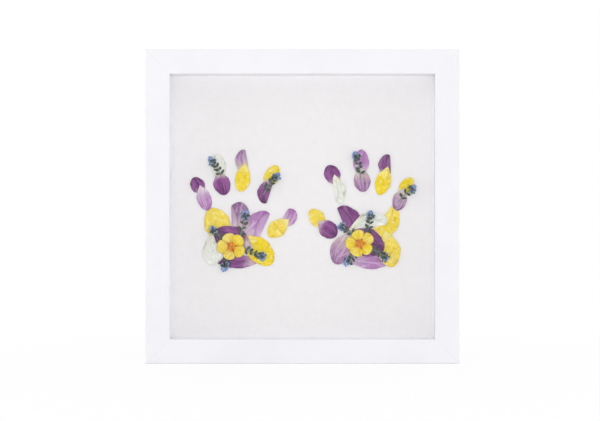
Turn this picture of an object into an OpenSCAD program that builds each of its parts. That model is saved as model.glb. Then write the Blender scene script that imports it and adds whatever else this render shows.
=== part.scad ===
// Square deep picture frame in white lacquered wood. Behind its glass a card carries two
// baby handprints laid out in pressed petals, with small flowers and sprigs on them.
// Everything is drawn round the centre of the opening: X to the right and Z up as seen
// from the front, and depth counted from the front face towards the back. "placed"
// then stands the frame on its bottom rail.

/* [Frame] */
// Side of the square insert that the frame holds: glass, card and backing board
insert_w = 203.2; // [196:0.1:240]
// Clearance round the insert in the rebate, on each side
insert_gap = 1.4; // [0.8:0.1:2]
// Width of the front lip that holds the glass in
lip_w = 5; // [4:0.1:7]
// Thickness of the front lip
lip_t = 5; // [3:0.1:8]
// Width of the frame's face, from the opening to the outside
face_w = 18; // [16.5:0.1:26]
// Radius of the eased front edges
edge_r = 1; // [0.3:0.1:1.5]

/* [Stack behind the lip] */
// Thickness of the glass
glass_t = 2; // [1.5:0.1:3]
// Depth of the spacer strips between glass and card
spacer_t = 8; // [6:0.1:14]
// Play of the spacer strips in the rebate and between their ends
spacer_gap = 0.3; // [0.1:0.05:0.6]
// Thickness of the card that carries the handprints
card_t = 1.5; // [0.8:0.1:3]
// Thickness of the backing board
board_t = 3; // [2:0.1:5]

/* [Corner nails] */
// Length of each leg of a V nail
vnail_leg = 4.2; // [3:0.1:4.8]
// Thickness of the nail's steel
vnail_t = 0.5; // [0.3:0.05:0.8]
// How deep the nails are driven from the back
vnail_deep = 9; // [6:0.1:12]
// Spread of each leg from the mitre line, in degrees
vnail_spread = 60; // [45:1:65]

/* [Turn buttons] */
// Distance of the top and bottom buttons from the frame's centre line
button_x = 52; // [35:1:75]
// Width of a button
button_w = 8; // [7:0.1:10]
// Thickness of a button's steel
button_t = 1; // [0.8:0.1:1.5]
// How far a closed button reaches over the backing board
button_bite = 6; // [4:0.1:9]
// Play of the button round its screw, on the radius
button_play = 0.05; // [0.02:0.01:0.08]
// Gap between a button and the wood that it slides over
button_gap = 0.05; // [0.02:0.01:0.1]

/* [Screws] */
// Diameter of the screws' shanks
screw_d = 3; // [2.5:0.1:3.2]
// Length of the screws below the head
screw_len = 11; // [8:0.5:13]
// Diameter of the pan heads
head_d = 5.4; // [5:0.1:5.8]
// Height of the pan heads
head_h = 1.6; // [1.2:0.1:2]
// Play between a screw and its hole in the wood, on the radius
pilot_play = 0.05; // [0.02:0.01:0.1]
// Play under the heads of the turn buttons' screws
head_gap = 0.05; // [0.02:0.01:0.1]

/* [Hangers] */
// Height of the rings' pivots above the frame's centre
hanger_z = 58; // [40:1:75]
// Width of a hanger's strap
strap_w = 7; // [6.4:0.1:8]
// Thickness of the strap's steel, which is folded double
strap_t = 0.7; // [0.5:0.1:0.9]
// Diameter of the ring's wire
wire_d = 1.5; // [1.2:0.1:1.8]
// Width of the ring, between the middles of its legs
ring_w = 11; // [10.5:0.1:11.4]
// Length of the ring's straight legs
ring_leg = 3.5; // [3:0.1:5]
// Play of the ring's bar in the strap's loop, on the radius
ring_play = 0.05; // [0.02:0.01:0.08]
// Gap between the hanging ring and the strap behind it
ring_gap = 0.3; // [0.2:0.05:0.6]
// Distance of the strap's screw from the pivot
strap_reach = 14; // [13.5:0.1:18]

/* [Wall pads] */
// Diameter of the rubber pads at the bottom corners
pad_d = 10; // [8:0.5:11]
// Height of the rubber pads
pad_h = 4.5; // [4.5:0.1:6]

/* [Handprints] */
// Length of each handprint, from the heel to the tip of the middle finger
hand_len = 90; // [80:0.5:92]
// Gap between the tips of the two thumbs
hand_gap = 4; // [2:0.5:10]
// Height of the handprints' middles over the middle of the card
hand_rise = -1; // [-8:0.5:8]
// Thickness of a pressed petal
petal_t = 0.35; // [0.2:0.05:0.5]
// Thickness of the film of glue under each pressed piece
glue_t = 0.02; // [0.01:0.01:0.05]
// Radius of a small blue floret
floret_r = 2.2; // [1.8:0.1:2.6]

/* [Hidden] */
$fn = 64;
rebate_w = insert_w + 2 * insert_gap;
sight_w = rebate_w - 2 * lip_w;
outer_w = sight_w + 2 * face_w;
back_w = face_w - lip_w;
back_mid = (rebate_w + outer_w) / 4;
card_front = lip_t + glass_t + spacer_t;
board_front = card_front + card_t;
rail_d = board_front + board_t;

ring_h = 2 * strap_t + ring_gap + wire_d / 2;
loop_r = wire_d / 2 + ring_play + strap_t;
hanger_h = ring_h + loop_r;
button_h = button_gap + button_t + head_gap + head_h;
rear_h = max(pad_h, hanger_h, button_h);
y_front = -(rail_d + rear_h) / 2;

button_reach = back_mid - insert_w / 2 + button_bite;
// Turn buttons: place across, height and the turn that points the arm at the board
button_spots = [
    [-button_x, back_mid, 0], [button_x, back_mid, 0],
    [-button_x, -back_mid, 180], [button_x, -back_mid, 180],
    [-back_mid, 0, -90], [back_mid, 0, 90]
];

// Handprints: everything on them is given as a share of the hand's length. The palm's
// middle sits below the middle of the print, and the fingers fan out from the heel
palm_share = 0.26;
palm_z = hand_rise - (0.5 - palm_share) * hand_len;
petal_steps = 14;
leaf_steps = 6;

// Where a petal is broadest: at its middle for 1, and nearer its tip the higher it is
petal_fat = 1.25;
finger_tip_fat = 1.15;
finger_base_fat = 1.3;
lobe_fat = 1.6;
leaf_fat = 1;

// Fingers of a hand with its thumb to the right: angle from straight up, distance of the
// finger's middle from the heel, length and width, then the extra turn of the tip petal
// and of the base petal
finger_names = ["thumb", "index", "middle", "ring", "little"];
fingers = [
    [45, 0.52, 0.31, 0.14, 8, -6],
    [20, 0.745, 0.335, 0.135, -6, 7],
    [3, 0.81, 0.355, 0.14, 5, -6],
    [-11, 0.79, 0.345, 0.135, -6, 6],
    [-26, 0.69, 0.3, 0.12, 6, -8]
];

// How the two petals of each finger share it: length of the tip petal as a share of the
// finger's length, then the widths of the tip petal and the base petal as shares of its width
cut_left = [[0.58, 1, 1], [0.66, 0.92, 1.05], [0.6, 1, 0.9], [0.7, 0.9, 1.05], [0.56, 1, 1]];
cut_right = [[0.66, 0.9, 1.05], [0.56, 1, 0.92], [0.7, 0.95, 1], [0.58, 1, 0.95],
    [0.64, 0.95, 1]];
// How far the base petal laps over the foot of the tip petal, as a share of the finger
finger_lap = 0.3;

// The outermost point of the thumb stands this far from the palm's middle
thumb_reach = hand_len * ((fingers[0][1] + fingers[0][2] / 2) * sin(fingers[0][0])
    + fingers[0][3] / 4);
hand_pitch = 2 * thumb_reach + hand_gap;

// Palm petals: place across, height, turn, length, width and layer over the card
palm_left = [
    [-0.165, 0.085, 24, 0.33, 0.215, 0], [0.155, 0.07, -34, 0.33, 0.21, 0],
    [-0.02, -0.178, 82, 0.43, 0.175, 0], [0, 0.135, -6, 0.31, 0.205, 1],
    [-0.195, -0.09, 168, 0.3, 0.19, 1], [0.17, -0.105, 222, 0.33, 0.2, 1],
    [-0.03, -0.035, 64, 0.36, 0.225, 2]
];
palm_right = [
    [-0.15, 0.1, 34, 0.34, 0.21, 0], [0.14, 0.105, -30, 0.34, 0.22, 0],
    [0.015, -0.176, 98, 0.43, 0.175, 0], [-0.185, -0.1, 170, 0.31, 0.19, 1],
    [-0.01, 0.105, 74, 0.33, 0.19, 1], [0.195, -0.09, 206, 0.3, 0.19, 1],
    [0.02, -0.035, 114, 0.36, 0.23, 2]
];

// Flower heads: place across, height, turn
head_left = [-0.055, -0.08, 20];
head_right = [0.055, -0.055, -14];
corolla_share = 0.117;

// Sprigs: what each lies on, a finger counted from the thumb's 0 or the palm as -1, then
// the place of the stem's foot across and up, turn, length, bend and layer
sprigs_left = [
    [3, 0.01, -0.035, 8, 0.165, -0.035, 2], [1, -0.01, -0.1, -6, 0.18, 0.035, 2],
    [-1, 0, -0.02, -25, 0.21, -0.035, 3], [-1, 0.02, -0.1, -100, 0.19, 0.035, 3],
    [-1, -0.1, -0.035, 55, 0.145, 0.02, 3], [-1, -0.065, -0.135, 150, 0.12, -0.02, 3]
];
sprigs_right = [
    [2, 0.01, -0.065, 0, 0.19, 0.035, 2], [4, 0, -0.08, 8, 0.155, -0.035, 2],
    [-1, 0.01, 0, 22, 0.18, 0.035, 3], [-1, -0.01, -0.09, 108, 0.165, -0.035, 3],
    [-1, 0.09, 0, -48, 0.145, 0.02, 3], [-1, 0.08, -0.11, -150, 0.12, -0.02, 3]
];
leaf_pairs = [0.22, 0.42, 0.6, 0.76];
leaf_share = 0.039;
leaf_wide_share = 0.018;
stem_share = 0.008;
cluster = 4;
floret = floret_r / hand_len;

// Stands the frame on its bottom rail, with the middle of its depth at Y 0
module placed() {
    translate([0, y_front, outer_w / 2]) children();
}

// Gives a drawing in the X-Z plane a thickness t towards the back
module slab(t) {
    rotate([90, 0, 0]) translate([0, 0, -t]) linear_extrude(t) children();
}

// Waste outside a rounded corner of radius r, for a corner at the origin
module corner_waste(r) {
    difference() {
        translate([-r, -r]) square(2 * r);
        translate([r, r]) circle(r);
    }
}

// Cross section of a rail: depth to the right, distance from the centre upwards
module rail_section() {
    difference() {
        translate([0, sight_w / 2]) square([rail_d, face_w]);
        translate([lip_t, sight_w / 2 - edge_r]) square([rail_d, lip_w + edge_r]);
        translate([0, sight_w / 2]) corner_waste(edge_r);
        translate([0, outer_w / 2]) mirror([0, 1]) corner_waste(edge_r);
        translate([rail_d, outer_w / 2]) mirror([1, 0]) mirror([0, 1])
            corner_waste(edge_r / 2);
    }
}

// One mitred length of the section, over the top of the opening
module mitred_bar() {
    reach = outer_w / 2 + edge_r;
    intersection() {
        rotate([90, 0, 90]) linear_extrude(2 * reach, center = true) rail_section();
        slab(rail_d) polygon([[0, 0], [reach, reach], [-reach, reach]]);
    }
}

// One V nail with its point on the mitre line of the top right corner
module v_nail(along) {
    translate([along, rail_d - vnail_deep, along]) slab(vnail_deep) rotate(45) {
        circle(d = vnail_t, $fn = 24);
        for (turn = [-vnail_spread, vnail_spread]) rotate(turn)
            translate([0, -vnail_t / 2]) square([vnail_leg, vnail_t]);
    }
}

// Two nails in each of the four corners
module v_nails() {
    inner = rebate_w / 2 + 0.16 * back_w;
    outer = rebate_w / 2 + 0.54 * back_w;
    for (corner = [0 : 90 : 270], along = [inner, outer]) rotate([0, corner, 0]) v_nail(along);
}

// A pan head screw pointing into the wood, its head starting at the height under
module screw(under) {
    dome_r = head_d * 0.75;
    tip_l = screw_d;
    rotate([-90, 0, 0]) difference() {
        union() {
            translate([0, 0, under]) intersection() {
                cylinder(d = head_d, h = head_h);
                translate([0, 0, head_h - dome_r]) sphere(dome_r);
            }
            translate([0, 0, tip_l - screw_len]) cylinder(d = screw_d, h = screw_len + under - tip_l);
            translate([0, 0, -screw_len]) cylinder(d1 = screw_d / 5, d2 = screw_d, h = tip_l);
        }
        for (turn = [0, 90]) rotate(turn)
            translate([-head_d / 4, -head_d / 16, under + head_h * 0.45])
                cube([head_d / 2, head_d / 8, head_h]);
    }
}

// Puts a piece at each of the turn buttons' screws
module at_buttons() {
    for (spot = button_spots) translate([spot[0], rail_d, spot[1]]) children();
}

// Puts a piece at the pivot line of the left (-1) or right (1) hanger
module at_hanger(side) {
    translate([side * back_mid, rail_d, hanger_z]) children();
}

// Holes that the screws have cut in the wood
module pilot_hole() {
    rotate([90, 0, 0]) cylinder(d = screw_d + 2 * pilot_play, h = screw_len + pilot_play);
}

// A rail or stile, turned from the top of the frame to its own side
module rail(turn) {
    color("white") placed() difference() {
        rotate([0, turn, 0]) mitred_bar();
        v_nails();
        at_buttons() pilot_hole();
        for (side = [-1, 1]) at_hanger(side) translate([0, 0, -strap_reach]) pilot_hole();
    }
}

module top_rail() rail(0);
module right_stile() rail(90);
module bottom_rail() rail(180);
module left_stile() rail(270);

module corner_v_nails() {
    color("gray") placed() v_nails();
}

// A square sheet of the insert's size
module insert_sheet(front, t) {
    placed() translate([-insert_w / 2, front, -insert_w / 2]) cube([insert_w, t, insert_w]);
}

module glass_pane() color("aliceblue", 0.3) insert_sheet(lip_t, glass_t);
module art_card() color("whitesmoke") insert_sheet(card_front, card_t);
module backing_board() color("peru") insert_sheet(board_front, board_t);

// A spacer strip on the side of the opening given by turn; its inner face is flush with
// the lip, and the long strips lie across the ends of the short ones
module spacer(turn, long) {
    width = lip_w - spacer_gap;
    length = long ? rebate_w - 2 * spacer_gap : sight_w - 2 * spacer_gap;
    color("white") placed() rotate([0, turn, 0])
        translate([-length / 2, lip_t + glass_t, sight_w / 2]) cube([length, spacer_t, width]);
}

module spacer_top() spacer(0, true);
module spacer_bottom() spacer(180, true);
module spacer_right() spacer(90, false);
module spacer_left() spacer(270, false);

// Half the width of a petal of width w at the share t of its length: drawn in at the
// foot and round at the tip
function petal_half(w, t, fat) = w / 2 * pow(sin(180 * pow(t, fat)), 0.85 - 0.35 * t);

// Outline of a petal, foot at the bottom, broadest above its middle when fat is over 1
module petal(l, w, fat = petal_fat, steps = petal_steps) {
    right = [for (i = [0 : steps]) let (t = (1 - cos(180 * i / steps)) / 2)
        [petal_half(w, t, fat), l * (t - 0.5)]];
    left = [for (i = [steps - 1 : -1 : 1]) [-right[i][0], right[i][1]]];
    polygon(concat(right, left));
}

// Glues a flat drawing on the card, on top of so many layers of petals
module on_card(layer, t = petal_t) {
    under = layer * (petal_t + glue_t) + glue_t;
    placed() translate([0, card_front - under - t, 0]) slab(t) children();
}

// Moves a drawing made for a hand with its thumb to the right onto one of the prints
module on_hand(side) {
    translate([(side == "left" ? -1 : 1) * hand_pitch / 2, palm_z])
        mirror([side == "left" ? 0 : 1, 0]) scale(hand_len) children();
}

// Moves a drawing onto finger i, its axis upwards, or onto the palm when i is -1
module on_part(side, i) {
    if (i < 0) on_hand(side) children();
    else on_hand(side) translate([0, -palm_share]) rotate(-fingers[i][0])
        translate([0, fingers[i][1]]) children();
}

// Two petals make a finger, foot to foot, the tip petal lying under the base petal
module finger_petals(side, i) {
    l = fingers[i][2];
    w = fingers[i][3];
    cut = side == "left" ? cut_left[i] : cut_right[i];
    tip_l = cut[0] * l;
    base_l = (1 + finger_lap - cut[0]) * l;
    color(i % 2 == 0 ? "gold" : "mediumorchid") on_card(0) on_part(side, i)
        translate([0, (l - tip_l) / 2]) rotate(fingers[i][4])
            petal(tip_l, cut[1] * w, finger_tip_fat);
    color(i % 2 == 0 ? "purple" : "gold") on_card(1) on_part(side, i)
        translate([0, (base_l - l) / 2]) rotate(180 + fingers[i][5])
            petal(base_l, cut[2] * w, finger_base_fat);
}

module palm_petals(side) {
    table = side == "left" ? palm_left : palm_right;
    for (i = [0 : len(table) - 1]) {
        p = table[i];
        color(["plum", "purple", "gold", "ivory"][i % 4])
            on_card(p[5]) on_hand(side) translate([p[0], p[1]]) rotate(p[2]) petal(p[3], p[4]);
    }
}

// An open five-lobed flower pressed flat, with its raised eye
module flower_head(side) {
    h = side == "left" ? head_left : head_right;
    module place() on_hand(side) translate([h[0], h[1]]) rotate(h[2]) children();
    color("gold") on_card(4) place() {
        circle(corolla_share * 0.3);
        for (turn = [0 : 72 : 288]) rotate(turn)
            translate([0, corolla_share * 0.55]) petal(corolla_share * 0.98, corolla_share * 0.9, lobe_fat);
    }
    color("orange") on_card(5, 2 * petal_t) place() circle(corolla_share * 0.27);
}

// Place at the share t along a sprig's stem, which bends sideways as it rises
function stem_at(length, bend, t) = [bend * t * t, length * t];

// A sprig: a thin stem with pairs of leaflets, in one flat piece
module sprig(length, bend) {
    steps = 6;
    right = [for (i = [0 : steps]) stem_at(length, bend, i / steps) + [stem_share / 2, 0]];
    left = [for (i = [steps : -1 : 0]) stem_at(length, bend, i / steps) - [stem_share / 2, 0]];
    polygon(concat(right, left));
    for (share = leaf_pairs, turn = [-54, 54])
        translate(stem_at(length, bend, share)) rotate(turn) translate([0, 0.46 * leaf_share])
            petal(leaf_share, leaf_wide_share, leaf_fat, leaf_steps);
}

module sprigs(side) {
    table = side == "left" ? sprigs_left : sprigs_right;
    color("darkslategray") for (s = table)
        on_card(s[6]) on_part(side, s[0]) translate([s[1], s[2]]) rotate(s[3])
            sprig(s[4], s[5]);
}

// A floret: five round lobes and the middle
module floret() {
    circle(0.4 * floret, $fn = 32);
    for (turn = [0 : 72 : 288]) rotate(turn)
        translate([0, 0.56 * floret]) circle(0.44 * floret, $fn = 32);
}

// Each sprig ends in a cluster of florets round the tip of its stem
module florets(side) {
    table = side == "left" ? sprigs_left : sprigs_right;
    color("cornflowerblue") for (s = table)
        on_card(s[6] + 1, 1.5 * petal_t) on_part(side, s[0]) translate([s[1], s[2]])
            rotate(s[3]) translate(stem_at(s[4], s[5], 1))
                for (i = [1 : cluster]) rotate(360 * i / cluster)
                    translate([0, 0.95 * floret]) rotate(31 * i) floret();
}

// A flat steel button with round ends, turning on its screw
module turn_button(i) {
    spot = button_spots[i];
    arm = button_reach - button_w / 2;
    seat = rail_d + button_gap;
    color("silver") placed() translate([spot[0], seat, spot[1]]) rotate([0, spot[2], 0])
        slab(button_t) difference() {
            union() {
                circle(d = button_w);
                translate([-button_w / 2, -arm]) square([button_w, arm]);
                translate([0, -arm]) circle(d = button_w);
            }
            circle(screw_d / 2 + button_play);
        }
}

module turn_button_screws() {
    color("silver") placed() at_buttons() screw(button_h - head_h);
}

// A doubled strip with a loop rolled at its top end, screwed on below
module d_ring_strap(side) {
    color("goldenrod") placed() at_hanger(side) difference() {
        union() {
            slab(2 * strap_t) {
                translate([-strap_w / 2, -strap_reach]) square([strap_w, strap_reach]);
                translate([0, -strap_reach]) circle(d = strap_w);
            }
            translate([0, ring_h, 0]) rotate([0, 90, 0])
                cylinder(r = loop_r, h = strap_w, center = true);
        }
        translate([0, ring_h, 0]) rotate([0, 90, 0])
            cylinder(d = wire_d + 2 * ring_play, h = 2 * strap_w, center = true);
        translate([0, 0, -strap_reach]) rotate([90, 0, 0])
            cylinder(d = screw_d + 2 * pilot_play, h = 6 * strap_t, center = true);
    }
}

// A wire ring shaped like a D, hanging from its straight bar
module d_ring(side) {
    color("goldenrod") placed() at_hanger(side) translate([0, ring_h, 0]) {
        rotate([0, 90, 0]) cylinder(d = wire_d, h = ring_w, center = true);
        for (end = [-1, 1]) translate([end * ring_w / 2, 0, 0]) {
            sphere(d = wire_d);
            translate([0, 0, -ring_leg]) cylinder(d = wire_d, h = ring_leg);
        }
        translate([0, 0, -ring_leg]) rotate([-90, 0, 0])
            rotate_extrude(angle = 180) translate([ring_w / 2, 0]) circle(d = wire_d);
    }
}

module strap_screws() {
    color("goldenrod") placed() for (side = [-1, 1])
        at_hanger(side) translate([0, 0, -strap_reach]) screw(2 * strap_t);
}

// Flat-topped rubber pads that keep the bottom corners off the wall
module wall_pads() {
    color("lightgray") placed() for (side = [-1, 1])
        translate([side * back_mid, rail_d, -back_mid]) rotate([-90, 0, 0])
            cylinder(d1 = pad_d, d2 = 0.8 * pad_d, h = pad_h);
}

top_rail();
bottom_rail();
left_stile();
right_stile();
corner_v_nails();
glass_pane();
spacer_top();
spacer_bottom();
spacer_left();
spacer_right();
art_card();
backing_board();
for (side = ["left", "right"]) {
    for (i = [0 : len(fingers) - 1])
        finger_petals(side, i);
    palm_petals(side);
    flower_head(side);
    sprigs(side);
    florets(side);
}
for (i = [1 : len(button_spots)])
    turn_button(i - 1);
turn_button_screws();
d_ring_strap(-1);  // d_ring_strap_left
d_ring_strap(1);  // d_ring_strap_right
d_ring(-1);  // d_ring_left
d_ring(1);  // d_ring_right
strap_screws();
wall_pads();
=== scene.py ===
"""A square white box frame that shows two handprints laid out in pressed petals."""

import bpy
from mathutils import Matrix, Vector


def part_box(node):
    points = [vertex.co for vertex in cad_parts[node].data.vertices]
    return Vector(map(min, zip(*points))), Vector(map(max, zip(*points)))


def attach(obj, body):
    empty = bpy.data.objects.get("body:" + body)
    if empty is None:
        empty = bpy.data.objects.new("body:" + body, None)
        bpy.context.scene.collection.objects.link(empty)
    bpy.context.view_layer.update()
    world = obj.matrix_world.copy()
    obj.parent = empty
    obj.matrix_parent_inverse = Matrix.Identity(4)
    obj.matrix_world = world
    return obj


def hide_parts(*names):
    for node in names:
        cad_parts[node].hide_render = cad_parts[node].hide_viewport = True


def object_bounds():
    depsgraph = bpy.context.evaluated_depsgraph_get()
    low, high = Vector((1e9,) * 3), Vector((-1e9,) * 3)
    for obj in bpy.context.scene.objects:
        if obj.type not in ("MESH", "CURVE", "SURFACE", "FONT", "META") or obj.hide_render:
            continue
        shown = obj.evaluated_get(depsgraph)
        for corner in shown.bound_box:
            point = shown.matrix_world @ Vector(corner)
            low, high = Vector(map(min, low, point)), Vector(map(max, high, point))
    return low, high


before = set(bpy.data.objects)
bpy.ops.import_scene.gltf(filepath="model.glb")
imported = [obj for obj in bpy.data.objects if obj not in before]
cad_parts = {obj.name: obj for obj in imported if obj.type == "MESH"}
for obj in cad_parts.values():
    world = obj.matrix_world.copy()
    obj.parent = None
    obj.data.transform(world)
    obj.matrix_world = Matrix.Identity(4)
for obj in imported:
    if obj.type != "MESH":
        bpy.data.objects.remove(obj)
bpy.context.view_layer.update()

import math

import bpy
import numpy as np

# Camera: the picture was taken square on, 0.9 m in front of the frame's face and a little
# below the middle of the frame, with a short telephoto lens.
scene = bpy.context.scene
frame_low, frame_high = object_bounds()
view_distance = 0.9
view_width = 0.4426
below_middle = 0.0029
left_of_middle = 0.00173
lens = bpy.data.cameras.new("camera")
lens.sensor_width = 36
lens.lens = lens.sensor_width * view_distance / view_width
camera = bpy.data.objects.new("camera", lens)
frame_middle = (frame_low[2] + frame_high[2]) / 2
camera.location = (-left_of_middle, frame_low[1] - view_distance, frame_middle - below_middle)
camera.rotation_euler = (math.radians(90), 0, 0)
scene.collection.objects.link(camera)
scene.camera = camera
scene.view_settings.view_transform = "Standard"


# Floor and room: a wide white studio table, painted matt. It and the room are white to the
# camera, in metal and in glass, and the table still takes a soft shadow.
def colour(code):
    """An sRGB hex colour as linear RGBA."""
    parts = [int(code[i:i + 2], 16) / 255 for i in (1, 3, 5)]
    return [p / 12.92 if p <= 0.04045 else ((p + 0.055) / 1.055) ** 2.4 for p in parts] + [1]


def add(look, kind, links=None, **settings):
    """A node in the look's tree, with its settings and what feeds each of its sockets."""
    made = look.node_tree.nodes.new("ShaderNode" + kind)
    for setting, value in settings.items():
        setattr(made, setting, value)
    for name, value in (links or {}).items():
        if isinstance(name, int):
            socket = made.inputs[name]
        else:
            socket = next(s for s in made.inputs if s.enabled and s.name == name)
        if isinstance(value, bpy.types.Node):
            value = next(s for s in value.outputs if s.enabled)
        if isinstance(value, bpy.types.NodeSocket):
            look.node_tree.links.new(value, socket)
        else:
            socket.default_value = value
    return made


def bare_look(name):
    """A material with an empty node tree."""
    look = bpy.data.materials.new(name)
    look.use_nodes = True
    look.node_tree.nodes.clear()
    return look


def white_when_seen(look):
    """1 for rays from the camera, off metal and through glass, and 0 for the light of the room."""
    path = add(look, "LightPath")
    seen = add(look, "Math", {0: path.outputs["Is Camera Ray"],
                              1: path.outputs["Is Glossy Ray"]}, operation="MAXIMUM")
    return add(look, "Math", {0: seen, 1: path.outputs["Is Transmission Ray"]},
               operation="MAXIMUM")


table_white = bare_look("matt_white_table")
# Near the frame the table keeps part of its own shade, and further off it goes to white
from_frame = add(table_white, "VectorMath", {
    0: add(table_white, "TexCoord").outputs["Object"]}, operation="LENGTH").outputs["Value"]
table_glow = add(table_white, "MapRange", {"Value": from_frame, "From Min": 0.05,
                                           "From Max": 0.35, "To Min": 0.92})
table_shown = add(table_white, "Math", {0: white_when_seen(table_white), 1: table_glow},
                  operation="MULTIPLY")
table_grain = add(table_white, "TexNoise", {
    "Vector": add(table_white, "TexCoord").outputs["Object"], "Scale": 400.0})
table_paint = add(table_white, "Mix", {"Factor": table_grain, "A": colour("#efefef"),
                                       "B": colour("#f3f3f3")}, data_type="RGBA")
add(table_white, "OutputMaterial", {"Surface": add(table_white, "MixShader", {
    0: table_shown,
    1: add(table_white, "BsdfDiffuse", {"Color": table_paint}),
    2: add(table_white, "Emission", {"Color": colour("#ffffff"), "Strength": 1.0})})})
table_half = 3.0
table_mesh = bpy.data.meshes.new("studio_table")
table_mesh.from_pydata([(-table_half, -table_half, 0), (table_half, -table_half, 0),
                        (table_half, table_half, 0), (-table_half, table_half, 0)],
                       [], [(0, 1, 2, 3)])
table_mesh.materials.append(table_white)
table = bpy.data.objects.new("studio_table", table_mesh)
scene.collection.objects.link(table)

room = bpy.data.worlds.new("white_room")
room.use_nodes = True
room.node_tree.nodes.clear()
scene.world = room
# The room is dim about the lamps, and light above, behind and at the sides of the frame
lamp_side, other_sides = 0.45, 0.89
towards = add(room, "SeparateXYZ", {"Vector": add(room, "TexCoord").outputs["Generated"]})
room_level = add(room, "MapRange", {"Value": towards.outputs["Y"],
                                    "From Min": -0.85, "From Max": -0.5,
                                    "To Min": lamp_side, "To Max": other_sides})
room_light = add(room, "MapRange", {"Value": white_when_seen(room), "To Min": room_level})
add(room, "OutputWorld", {"Surface": add(room, "Background", {
    "Color": colour("#ffffff"), "Strength": room_light})})

# Lamps: one softbox stands behind the camera, a low one under the lens evens out what the
# table takes away, and two at the sides graze the card and reach the inner walls. Crossed
# polarising sheets keep them out of the glass.
frame_heart = (0.0, 0.0, frame_middle)
for name, place, wide, high, watts in [
        ("softbox_front", (-0.12, -1.7, 0.32), 1.3, 0.6, 0.3),
        ("softbox_low", (0.0, -1.3, 0.16), 1.2, 0.3, 4.1),
        ("softbox_left", (-1.45, -0.27, 0.3), 0.3, 0.5, 3.0),
        ("softbox_right", (1.45, -0.27, 0.3), 0.3, 0.5, 2.3)]:
    softbox = bpy.data.lights.new(name, "AREA")
    softbox.shape = "RECTANGLE"
    softbox.size, softbox.size_y = wide, high
    softbox.energy = watts
    lamp = bpy.data.objects.new(name, softbox)
    lamp.visible_glossy = False
    lamp.location = place
    aim = [b - a for a, b in zip(place, frame_heart)]
    lamp.rotation_euler = (math.atan2(math.hypot(aim[0], aim[1]), -aim[2]), 0,
                           math.atan2(-aim[0], aim[1]))
    scene.collection.objects.link(lamp)


# Rails and stiles: four lengths of poplar moulding, mitred, glued and then sprayed with
# satin white lacquer from the front. The spray wraps round the edges of the bare back.
def dress(look, *nodes):
    """Gives CAD nodes their material."""
    for name in nodes:
        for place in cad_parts[name].material_slots:
            place.material = look


def stretched(look, x, y, z):
    """Coordinates for a pattern whose grain is x, y and z millimetres long."""
    where = add(look, "TexCoord").outputs["Object"]
    return add(look, "Mapping", {"Vector": where, "Scale": (1000 / x, 1000 / y, 1000 / z)})


def step(look, value, low, high, **ends):
    """Rises smoothly from 0 at low to 1 at high, or between the ends given."""
    sockets = {"Value": value, "From Min": low, "From Max": high}
    sockets.update({"To " + end.capitalize(): v for end, v in ends.items()})
    return add(look, "MapRange", sockets, interpolation_type="SMOOTHSTEP")


def math_node(look, operation, *values):
    """Arithmetic on sockets and numbers."""
    return add(look, "Math", dict(enumerate(values)), operation=operation)


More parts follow.
